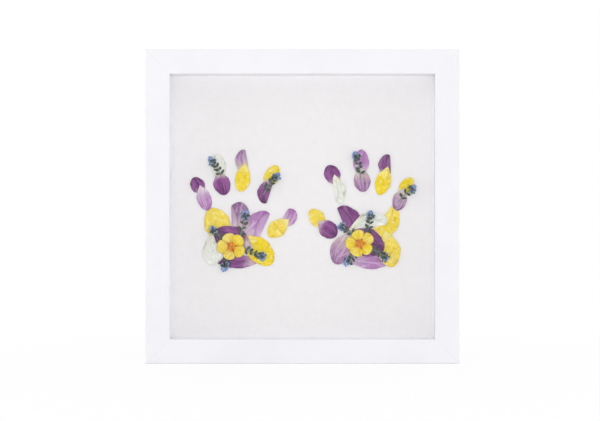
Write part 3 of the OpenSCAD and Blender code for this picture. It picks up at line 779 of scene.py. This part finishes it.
def stalk(path, radius, seed, number):
    """A ridged stem along a path on the card, thinning to its end, which raises the lie."""
    count, sides = len(path), 10
    share = np.linspace(0, 1, count)
    ahead = np.gradient(path, axis=0)
    ahead /= np.linalg.norm(ahead, axis=1)[:, None]
    thick = radius * (1 - 0.4 * share) * (1 + 0.08 * np.sin(share * 40 + seed))
    lift = settle(path[:, 0], path[:, 1], stiff=12) + 0.8 * thick
    turn = np.arange(sides) * 2 * math.pi / sides
    ridge = 1 + 0.12 * np.cos(5 * turn)[None, :]
    out = thick[:, None] * np.cos(turn) * ridge
    front = thick[:, None] * np.sin(turn) * ridge * 0.8
    rings = np.stack([path[:, :1] + ahead[:, 1:] * out, card_front - lift[:, None] - front,
                      path[:, 1:] - ahead[:, :1] * out], axis=2)
    for (x, z), t, h in zip(path, thick, lift):
        heap(x, z, t, h + 0.7 * t)
    points, faces = skin(rings)
    run = np.stack(np.broadcast_arrays(np.cos(turn)[None, :], share[:, None],
                                       0 * share[:, None]), axis=2).reshape(-1, 3)
    return marked(points, faces, run, seed % 1, 0.6, number)


def bud(place, toward, size, seed, number, petal=0.0):
    """A shut bud pressed on its side: five ridges, a round foot and a drawn out point. Where
    it shows its petals, petal is how far up them it starts."""
    share = np.linspace(0.02, 0.985, 9)[:, None]
    turn = np.linspace(0, 2 * math.pi, 21)[None, :-1]
    swell = 0.36 * size * np.sin(math.pi * share ** 0.75) ** 0.8
    swell = swell * (1 + 0.2 * np.cos(5 * turn + seed))
    along = size * (share - 0.35) + 0 * turn
    base = float(settle(np.array([place[0]]), np.array([place[1]]), stiff=3)[0])
    out, front = swell * np.cos(turn), 0.62 * swell * np.sin(turn)
    x = place[0] + toward[0] * along + toward[1] * out
    z = place[1] + toward[1] * along - toward[0] * out
    rings = np.stack([x, card_front - base - 0.2 * size - front, z], axis=2)
    heap(*place, 0.3 * size, base + 0.4 * size)
    points, faces = skin(rings)
    run = np.stack(np.broadcast_arrays(np.cos(turn), petal + (1 - petal) * share, 0 * share),
                   axis=2).reshape(-1, 3)
    # Relief is low in the grooves between the ridges, where the look paints shade
    relief = np.broadcast_to(0.5 + 0.5 * np.cos(5 * turn + seed), swell.shape).ravel()
    return marked(points, faces, run, seed % 1, relief, number)


def herb_look(name, dark, pale, hair, rough=0.7):
    """Dried stem or leaf: dull grey green, darker along its grain, under a down of short pale
    hairs that catches the light as fine specks."""
    look = bare_look(name)
    run, make = film_coordinates(look)
    grain = add(look, "TexNoise", {"Vector": add(look, "CombineXYZ", {
        "X": math_node(look, "MULTIPLY", run["X"], 3.0),
        "Y": math_node(look, "MULTIPLY", run["Y"], 2.0),
        "Z": math_node(look, "MULTIPLY", make["X"], 40.0)}), "Scale": 1.0, "Detail": 3.0})
    down = add(look, "TexNoise", {"Vector": stretched(look, 0.6, 0.6, 0.6), "Scale": 1.0,
                                  "Detail": 4.0, "Roughness": 0.65})
    tone = add(look, "Mix", {"Factor": step(look, grain, 0.3, 0.7), "A": colour(dark),
                             "B": colour(pale)}, data_type="RGBA")
    # Painted shade: darker in the hollows of a leaflet's creases and in the grooves between a bud's ridges
    tone = add(look, "Mix", {"Factor": step(look, make["Y"], 0.55, 0.1, min=0.0, max=0.6),
                             "A": tone, "B": colour(dark)}, data_type="RGBA")
    tone = add(look, "Mix", {"Factor": step(look, down, 0.55, 0.72, max=0.5), "A": tone,
                             "B": colour(hair)}, data_type="RGBA")
    add(look, "OutputMaterial", {"Surface": add(look, "BsdfPrincipled", {
        "Base Color": tone,
        "Roughness": step(look, down, 0.3, 0.7, min=rough - 0.1, max=rough + 0.1),
        "IOR": 1.45,
        "Sheen Weight": 0.2,
        "Normal": add(look, "Bump", {"Height": down, "Distance": 0.00006})})})
    return look


stem_green = herb_look("dried_stem", "#77847b", "#a3ab9c", "#ccd0c0")
leaf_green = herb_look("dried_leaflet", "#36423b", "#65756a", "#a6b0a4")
calyx_green = herb_look("dried_calyx", "#2d3935", "#5b6b63", "#9caa9f")
stem_radius = 0.00038
leaflet_length, leaflet_half = 0.0037, 0.00098
leaf_habit = (0.0001, 0.001, 3.0, 0.0003, 0, 0.0)

clusters, sprigs = {}, {}
for side in ("left", "right"):
    heads = solids_of(side + "_florets")
    clusters[side] = []
    sprigs[side] = []
    for number, solid in enumerate(solids_of(side + "_sprigs"), 1):
        flat = solid[:, [0, 2]]
        middles = [head[:, [0, 2]].mean(0) for head in heads]
        nearest = min(range(len(heads)),
                      key=lambda k: np.linalg.norm(flat - middles[k], axis=1).min())
        tip = middles[nearest]
        far = np.linalg.norm(flat - tip, axis=1)
        foot = flat[far > far.max() - 0.0003].mean(0)
        chord = tip - foot
        aside = np.array([chord[1], -chord[0]]) / np.linalg.norm(chord)
        bow = 1.25 * (flat.mean(0) - (foot + tip) / 2) @ aside
        share = np.linspace(0, 1, 26)[:, None]
        path = foot + chord * share + 4 * bow * share * (1 - share) * aside
        sprigs[side].append(path)
        clusters[side].append((heads[nearest], tip, path[-1] - path[-4]))
        seed = number + (0 if side == "left" else 20)
        rng = np.random.default_rng(seed)
        parts = [stalk(path, stem_radius, seed * 0.37, 0)]
        for k, at in enumerate((5, 10, 15, 19) if np.linalg.norm(chord) > 0.0145 else (6, 14)):
            ahead = path[at + 1] - path[at]
            ahead = ahead / np.linalg.norm(ahead)
            for hand in (-1, 1):
                turn = hand * math.radians(54 + rng.uniform(-14, 14))
                way = np.array([ahead[0] * math.cos(turn) - ahead[1] * math.sin(turn),
                                ahead[0] * math.sin(turn) + ahead[1] * math.cos(turn)])
                size = leaflet_length * (1.08 - 0.1 * k) * rng.uniform(0.78, 1.12)
                at_stem = path[at + (k + (hand > 0)) % 2]
                leaf = lay_film(at_stem + 0.0002 * way, at_stem + size * way,
                                leaflet_half * rng.uniform(0.85, 1.15), 900 + seed * 40 + k * 2 + hand, leaf_habit,
                                grain=0.00025, broad=1.05)
                parts.append(leaf + (1,))
                if k % 2 == (hand + 1) // 2:
                    parts.append(bud(at_stem + 0.8 * size * way, way, 0.0019,
                                     seed + k * 0.37, 2))
        build(side + "_sprig_" + str(number), parts, [stem_green, leaf_green, calyx_green],
              side + "_sprigs", "frame")

# Florets: small blue five-lobed flowers in tight heads, dried open or half shut among their
# dark hairy buds. Each has a pale ring and a yellow eye.
floret_look = bare_look("blue_floret_dried")
run, make = film_coordinates(floret_look)
blush = add(floret_look, "TexNoise", {"Vector": stretched(floret_look, 2.5, 2.5, 2.5),
                                      "Scale": 1.0, "Detail": 3.0})
blue = add(floret_look, "Mix", {"Factor": step(floret_look, blush, 0.35, 0.65),
                                "A": colour("#7190cb"), "B": colour("#a2bde4")},
           data_type="RGBA")
blue = add(floret_look, "Mix", {"Factor": step(floret_look, make["X"], 0.5, 1.0, max=0.5),
                                "A": blue, "B": colour("#7a7fbe")}, data_type="RGBA")
blue = add(floret_look, "Mix", {"Factor": step(floret_look, run["Y"], 0.75, 1.0, max=0.35),
                                "A": blue, "B": colour("#a9bee0")}, data_type="RGBA")
lobe_rib = step(floret_look, math_node(floret_look, "ABSOLUTE", run["X"]), 0.0, 0.35,
                min=0.35, max=0.0)
blue = add(floret_look, "Mix", {"Factor": lobe_rib, "A": blue, "B": colour("#4c63a0")},
           data_type="RGBA")
blue = add(floret_look, "Mix", {"Factor": step(floret_look, run["Y"], 0.2, 0.34, min=0.75,
                                               max=0.0),
                                "A": blue, "B": colour("#e2e4dc")}, data_type="RGBA")
blue = add(floret_look, "Mix", {"Factor": step(floret_look, run["Y"], 0.12, 0.18, min=1.0,
                                               max=0.0),
                                "A": blue, "B": colour("#c9a437")}, data_type="RGBA")
petal_cells = add(floret_look, "TexNoise", {"Vector": stretched(floret_look, 0.25, 0.25, 0.25),
                                            "Scale": 1.0, "Detail": 2.0})
add(floret_look, "OutputMaterial", {"Surface": add(floret_look, "BsdfPrincipled", {
    "Base Color": blue,
    "Roughness": step(floret_look, petal_cells, 0.3, 0.7, min=0.5, max=0.68),
    "IOR": 1.45,
    "Sheen Weight": 0.15,
    "Normal": add(floret_look, "Bump", {"Height": petal_cells, "Distance": 0.00004})})})


def bloom(place, radius, tilt, seed, number, doubled=None):
    """An open flower of five round lobes, a little cupped and tipped to one side. Doubled is
    the way in which one of its sides is turned over onto the other."""
    rng = np.random.default_rng(seed)
    reach = np.array([0.06, 0.14, 0.2, 0.27, 0.36, 0.5, 0.64, 0.78, 0.9, 1.0])[:, None]
    turn = np.linspace(0, 2 * math.pi, 56)[None, :-1]
    lobe = np.abs(np.sin(2.5 * (turn + seed)))
    shape = 0.6 + 0.4 * lobe ** 0.5 * (1 + 0.12 * np.sin(turn * 2 + seed))
    edge = radius * (shape * reach ** 0.5 + (1 - reach ** 0.5) * 0.8) * reach
    east, north = edge * np.cos(turn), edge * np.sin(turn)
    past = 0 * east
    if doubled is not None:
        past = np.maximum(east * doubled[0] + north * doubled[1] - 0.2 * radius, 0)
        east, north = east - 2 * past * doubled[0], north - 2 * past * doubled[1]
    x, z = place[0] + east, place[1] + north
    base = float(settle(np.array([place[0]]), np.array([place[1]]), stiff=4)[0])
    ring = np.exp(-((reach - 0.2) / 0.06) ** 2)
    cup = radius * (0.16 * reach ** 2 * lobe + 0.05 * np.sin(3 * turn + seed) * reach)
    lean = edge * (tilt[0] * np.cos(turn) + tilt[1] * np.sin(turn))
    height = base + 0.0003 + 0.00016 * ring + cup + lean
    height = np.maximum(height, settle(x, z, stiff=1) + 0.00003)
    height = height + np.minimum(past * 3, 0.00035)
    thick = 0.00012 + 0 * height
    top = np.stack([x, card_front - height - thick, z], axis=2)
    points, faces = sheet(top, thick, closed=True)
    middle = np.where(lobe > 0, 1 - lobe, 1) + 0 * reach
    run = np.stack([middle, reach + 0 * turn, 0 * middle], axis=2).reshape(-1, 3)
    heap(*place, radius * 0.8, base + 0.0004)
    return marked(points, faces, np.tile(run, (2, 1)), rng.uniform(), 0.6, number)


for side in ("left", "right"):
    for number, (solid, tip, ahead) in enumerate(clusters[side], 1):
        seed = 60 * number + (0 if side == "left" else 500)
        rng = np.random.default_rng(seed)
        flat = solid[:, [0, 2]] - tip
        far = np.hypot(flat[:, 0], flat[:, 1])
        angle = np.arctan2(flat[:, 1], flat[:, 0])
        first = math.atan2((far ** 4 * np.sin(4 * angle)).sum(),
                           (far ** 4 * np.cos(4 * angle)).sum()) / 4
        radius = far.max() / 1.95
        heading = math.atan2(ahead[1], ahead[0])
        spots = []
        for quarter in range(4):
            turn = first + quarter * math.pi / 2
            way = np.array([math.cos(turn), math.sin(turn)])
            spots.append((math.cos(turn - heading), tip + 0.95 * radius * way, way))
        spots.sort(key=lambda spot: -spot[0])
        parts = []
        # Buds round the stem's tip and on the side where the stem comes in
        for k in range(7):
            turn = heading + math.pi + (k - 3) * 0.75 + rng.uniform(-0.2, 0.2)
            way = np.array([math.cos(turn), math.sin(turn)])
            parts.append(bud(tip + radius * rng.uniform(0.35, 1.2) * way, way,
                             rng.uniform(0.0017, 0.0023), seed + k * 1.3, 1))
        for k, (facing, place, way) in enumerate(spots):
            if k > 1:
                for turn, kind in ((-0.8, 0), (0.7, 4 - k), (0.0, 0), (-0.2, 1)):
                    side_way = np.array([way[0] * math.cos(turn) - way[1] * math.sin(turn),
                                         way[0] * math.sin(turn) + way[1] * math.cos(turn)])
                    kind = min(kind, 1)
                    parts.append(bud(place + rng.uniform(0.0, 0.4) * radius * side_way,
                                     side_way, rng.uniform(0.0021, 0.0029), seed + turn, kind,
                                     petal=0.45 * (1 - kind)))
                continue
            size = radius * (0.98, 0.86)[k] * rng.uniform(0.9, 1.04)
            parts.append(bloom(place + rng.uniform(-0.0002, 0.0002, 2), size,
                               rng.uniform(-0.14, 0.14, 2), seed + k, 0,
                               doubled=way if k == 1 or number % 3 == 0 else None))
        for k in range(3):
            turn = heading + rng.uniform(-2.2, 2.2)
            way = np.array([math.cos(turn), math.sin(turn)])
            parts.append(bud(tip + 0.25 * radius * way, way, 0.0018, seed + 9 + k, 1))
        build(side + "_floret_head_" + str(number), parts, [floret_look, calyx_green],
              side + "_florets", "frame")

# Flower heads: one open primrose on each palm, pressed face up. Five notched lobes lap over
# each other round a frilled orange cup that keeps some of its height.
primrose = petal_look("primrose_petal_dried", "#ee9e1c", "#f1d84c", "#f5e466", "#d9aa28",
                      "#c9941e", "#f8ee9e", veins=0.35, foot_ends=0.5, raised=0.55)
cup_orange = petal_look("primrose_cup_dried", "#d67a12", "#f39a1a", "#ee7c14", "#c8640c",
                        "#b4540c", "#f8b444", veins=0.45, foot_ends=0.4)
pollen = herb_look("dried_stamen", "#a08a3c", "#d8c060", "#efe3a0")
lobe_habit = (0.0006, 0.0022, 1.3, 0.0005, 1, 0.0003)
for side in ("left", "right"):
    corolla, eye = sorted(solids_of(side + "_flower_head"), key=lambda s: -np.ptp(s[:, 0]))
    heart = eye[:, [0, 2]].mean(0)
    flat = corolla[:, [0, 2]] - heart
    far = np.hypot(flat[:, 0], flat[:, 1])
    angle = np.arctan2(flat[:, 1], flat[:, 0])
    first = math.atan2((far ** 6 * np.sin(5 * angle)).sum(),
                       (far ** 6 * np.cos(5 * angle)).sum()) / 5
    reach = far.max()
    rng = np.random.default_rng(5 if side == "left" else 8)
    parts = []
    for k in (0, 2, 4, 1, 3):
        turn = first + k * 2 * math.pi / 5 + rng.uniform(-0.07, 0.07)
        way = np.array([math.cos(turn), math.sin(turn)])
        size = reach * rng.uniform(0.93, 1.0)
        lobe = lay_film(heart + 0.06 * reach * way, heart + size * way,
                        0.44 * reach * rng.uniform(0.95, 1.05), 40 + k + int(first * 10),
                        lobe_habit, grain=0.0003, notch=0.09, broad=1.6)
        parts.append(lobe + (0,))
    # The cup: a frilled ring that stands up from the lobes and turns out at its rim
    cup_radius = np.ptp(eye[:, 0]) / 2
    ring_share = np.linspace(0.16, 1.0, 12)[:, None]
    turn = np.linspace(0, 2 * math.pi, 91)[None, :-1]
    frill = np.sin(turn * 7 + 0.8 * np.sin(turn * 2)) + 0.5 * np.sin(turn * 13 + 1.0)
    wide = cup_radius * ring_share * (1 + 0.07 * frill * ring_share ** 2)
    x, z = heart[0] + wide * np.cos(turn), heart[1] + wide * np.sin(turn)
    base = float(settle(heart[:1], heart[1:], stiff=8)[0])
    height = (base + 0.0002 + 0.0009 * ring_share ** 1.5 + 0.00022 * frill * ring_share ** 2
              + 0.0002 * folds(x, z, 0.0009, 77))
    thick = 0.00016 + 0 * height
    top = np.stack([x, card_front - height - thick, z], axis=2)
    points, faces = sheet(top, thick, closed=True)
    run = np.stack(np.broadcast_arrays(np.sin(turn * 3), ring_share, 0 * turn), axis=2)
    parts.append(marked(points, faces, np.tile(run.reshape(-1, 3), (2, 1)), 0.4,
                        np.tile(folds(x, z, 0.0009, 77).ravel(), 2), 1))
    for k in range(6):
        turn = k * 1.05 + first
        way = np.array([math.cos(turn), math.sin(turn)])
        heap(*(heart + 0.0005 * way), 0.0004, base + 0.0006)
        parts.append(bud(heart + 0.0005 * way, way, 0.0011, k, 2))
    build(side + "_primrose", parts, [primrose, cup_orange, pollen],
          side + "_flower_head", "frame")

# Turn buttons: six flat steel tabs, punched, tumbled and zinc plated, each turning on a pan
# head screw in the back of a rail, with its long end over the hardboard.
def plated(name, base, stain, mark, rough):
    """Plated steel: a bright metal skin with the soft scuffs of tumbling, faint cloudy stains
    and fine scratches that spread its reflections."""
    look = bare_look(name)
    scuff = add(look, "TexNoise", {"Vector": stretched(look, 0.25, 1.0, 1.6), "Scale": 1.0,
                                   "Detail": 4.0, "Distortion": 1.2})
    haze = add(look, "TexNoise", {"Vector": stretched(look, 3, 3, 3), "Scale": 1.0,
                                  "Detail": 3.0})
    tone = add(look, "Mix", {"Factor": step(look, haze, 0.35, 0.7), "A": colour(base),
                             "B": colour(stain)}, data_type="RGBA")
    tone = add(look, "Mix", {"Factor": step(look, scuff, 0.58, 0.75, max=0.5), "A": tone,
                             "B": colour(mark)}, data_type="RGBA")
    add(look, "OutputMaterial", {"Surface": add(look, "BsdfPrincipled", {
        "Base Color": tone,
        "Metallic": 1.0,
        "Roughness": step(look, math_node(look, "MULTIPLY_ADD", scuff, 0.6, haze), 0.5, 1.1,
                          min=rough - 0.06, max=rough + 0.14),
        "Normal": add(look, "Bump", {"Height": scuff, "Distance": 0.00001})})})
    return look


def tumbled(rounding, *nodes):
    """Rounds the edges of CAD nodes by so many metres, as tumbling, moulding or wear does."""
    for name in nodes:
        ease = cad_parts[name].modifiers.new("rounded_edges", "BEVEL")
        ease.width, ease.segments = rounding, 2
        ease.limit_method, ease.angle_limit = "ANGLE", math.radians(50)


buttons = ["turn_button_" + str(i) for i in range(1, 7)]
zinc = plated("zinc_plated_steel", "#c4c7cc", "#b6b9c0", "#9fa2a6", 0.3)
dress(zinc, *buttons)
tumbled(0.0002, *buttons)
bright_zinc = plated("bright_zinc_screw_steel", "#d2d4d6", "#c3c4c4", "#8f9193", 0.24)
dress(bright_zinc, "turn_button_screws", "strap_screws")

# Hangers: a D ring of nickel plated wire in the fold of a sheet steel strap, one on each
# stile, held by one screw.
nickel = plated("nickel_plated_steel", "#d5d0c6", "#c8c3b8", "#a5a097", 0.2)
dress(nickel, "d_ring_strap_left", "d_ring_strap_right", "d_ring_left", "d_ring_right")
tumbled(0.00015, "d_ring_strap_left", "d_ring_strap_right")

# Wall pads: two soft rubber bumpers, moulded and stuck on the bottom corners of the back.
rubber = bare_look("moulded_grey_rubber")
mould = add(rubber, "TexNoise", {"Vector": stretched(rubber, 0.3, 0.3, 0.3), "Scale": 1.0,
                                 "Detail": 2.0})
dust = add(rubber, "TexNoise", {"Vector": stretched(rubber, 4, 4, 4), "Scale": 1.0,
                                "Detail": 4.0})
add(rubber, "OutputMaterial", {"Surface": add(rubber, "BsdfPrincipled", {
    "Base Color": add(rubber, "Mix", {"Factor": step(rubber, dust, 0.4, 0.75),
                                      "A": colour("#4b4b4e"), "B": colour("#6a6967")},
                      data_type="RGBA"),
    "Roughness": step(rubber, dust, 0.3, 0.8, min=0.6, max=0.82),
    "IOR": 1.52,
    "Normal": add(rubber, "Bump", {"Height": mould, "Distance": 0.00003})})})
dress(rubber, "wall_pads")
tumbled(0.0006, "wall_pads")
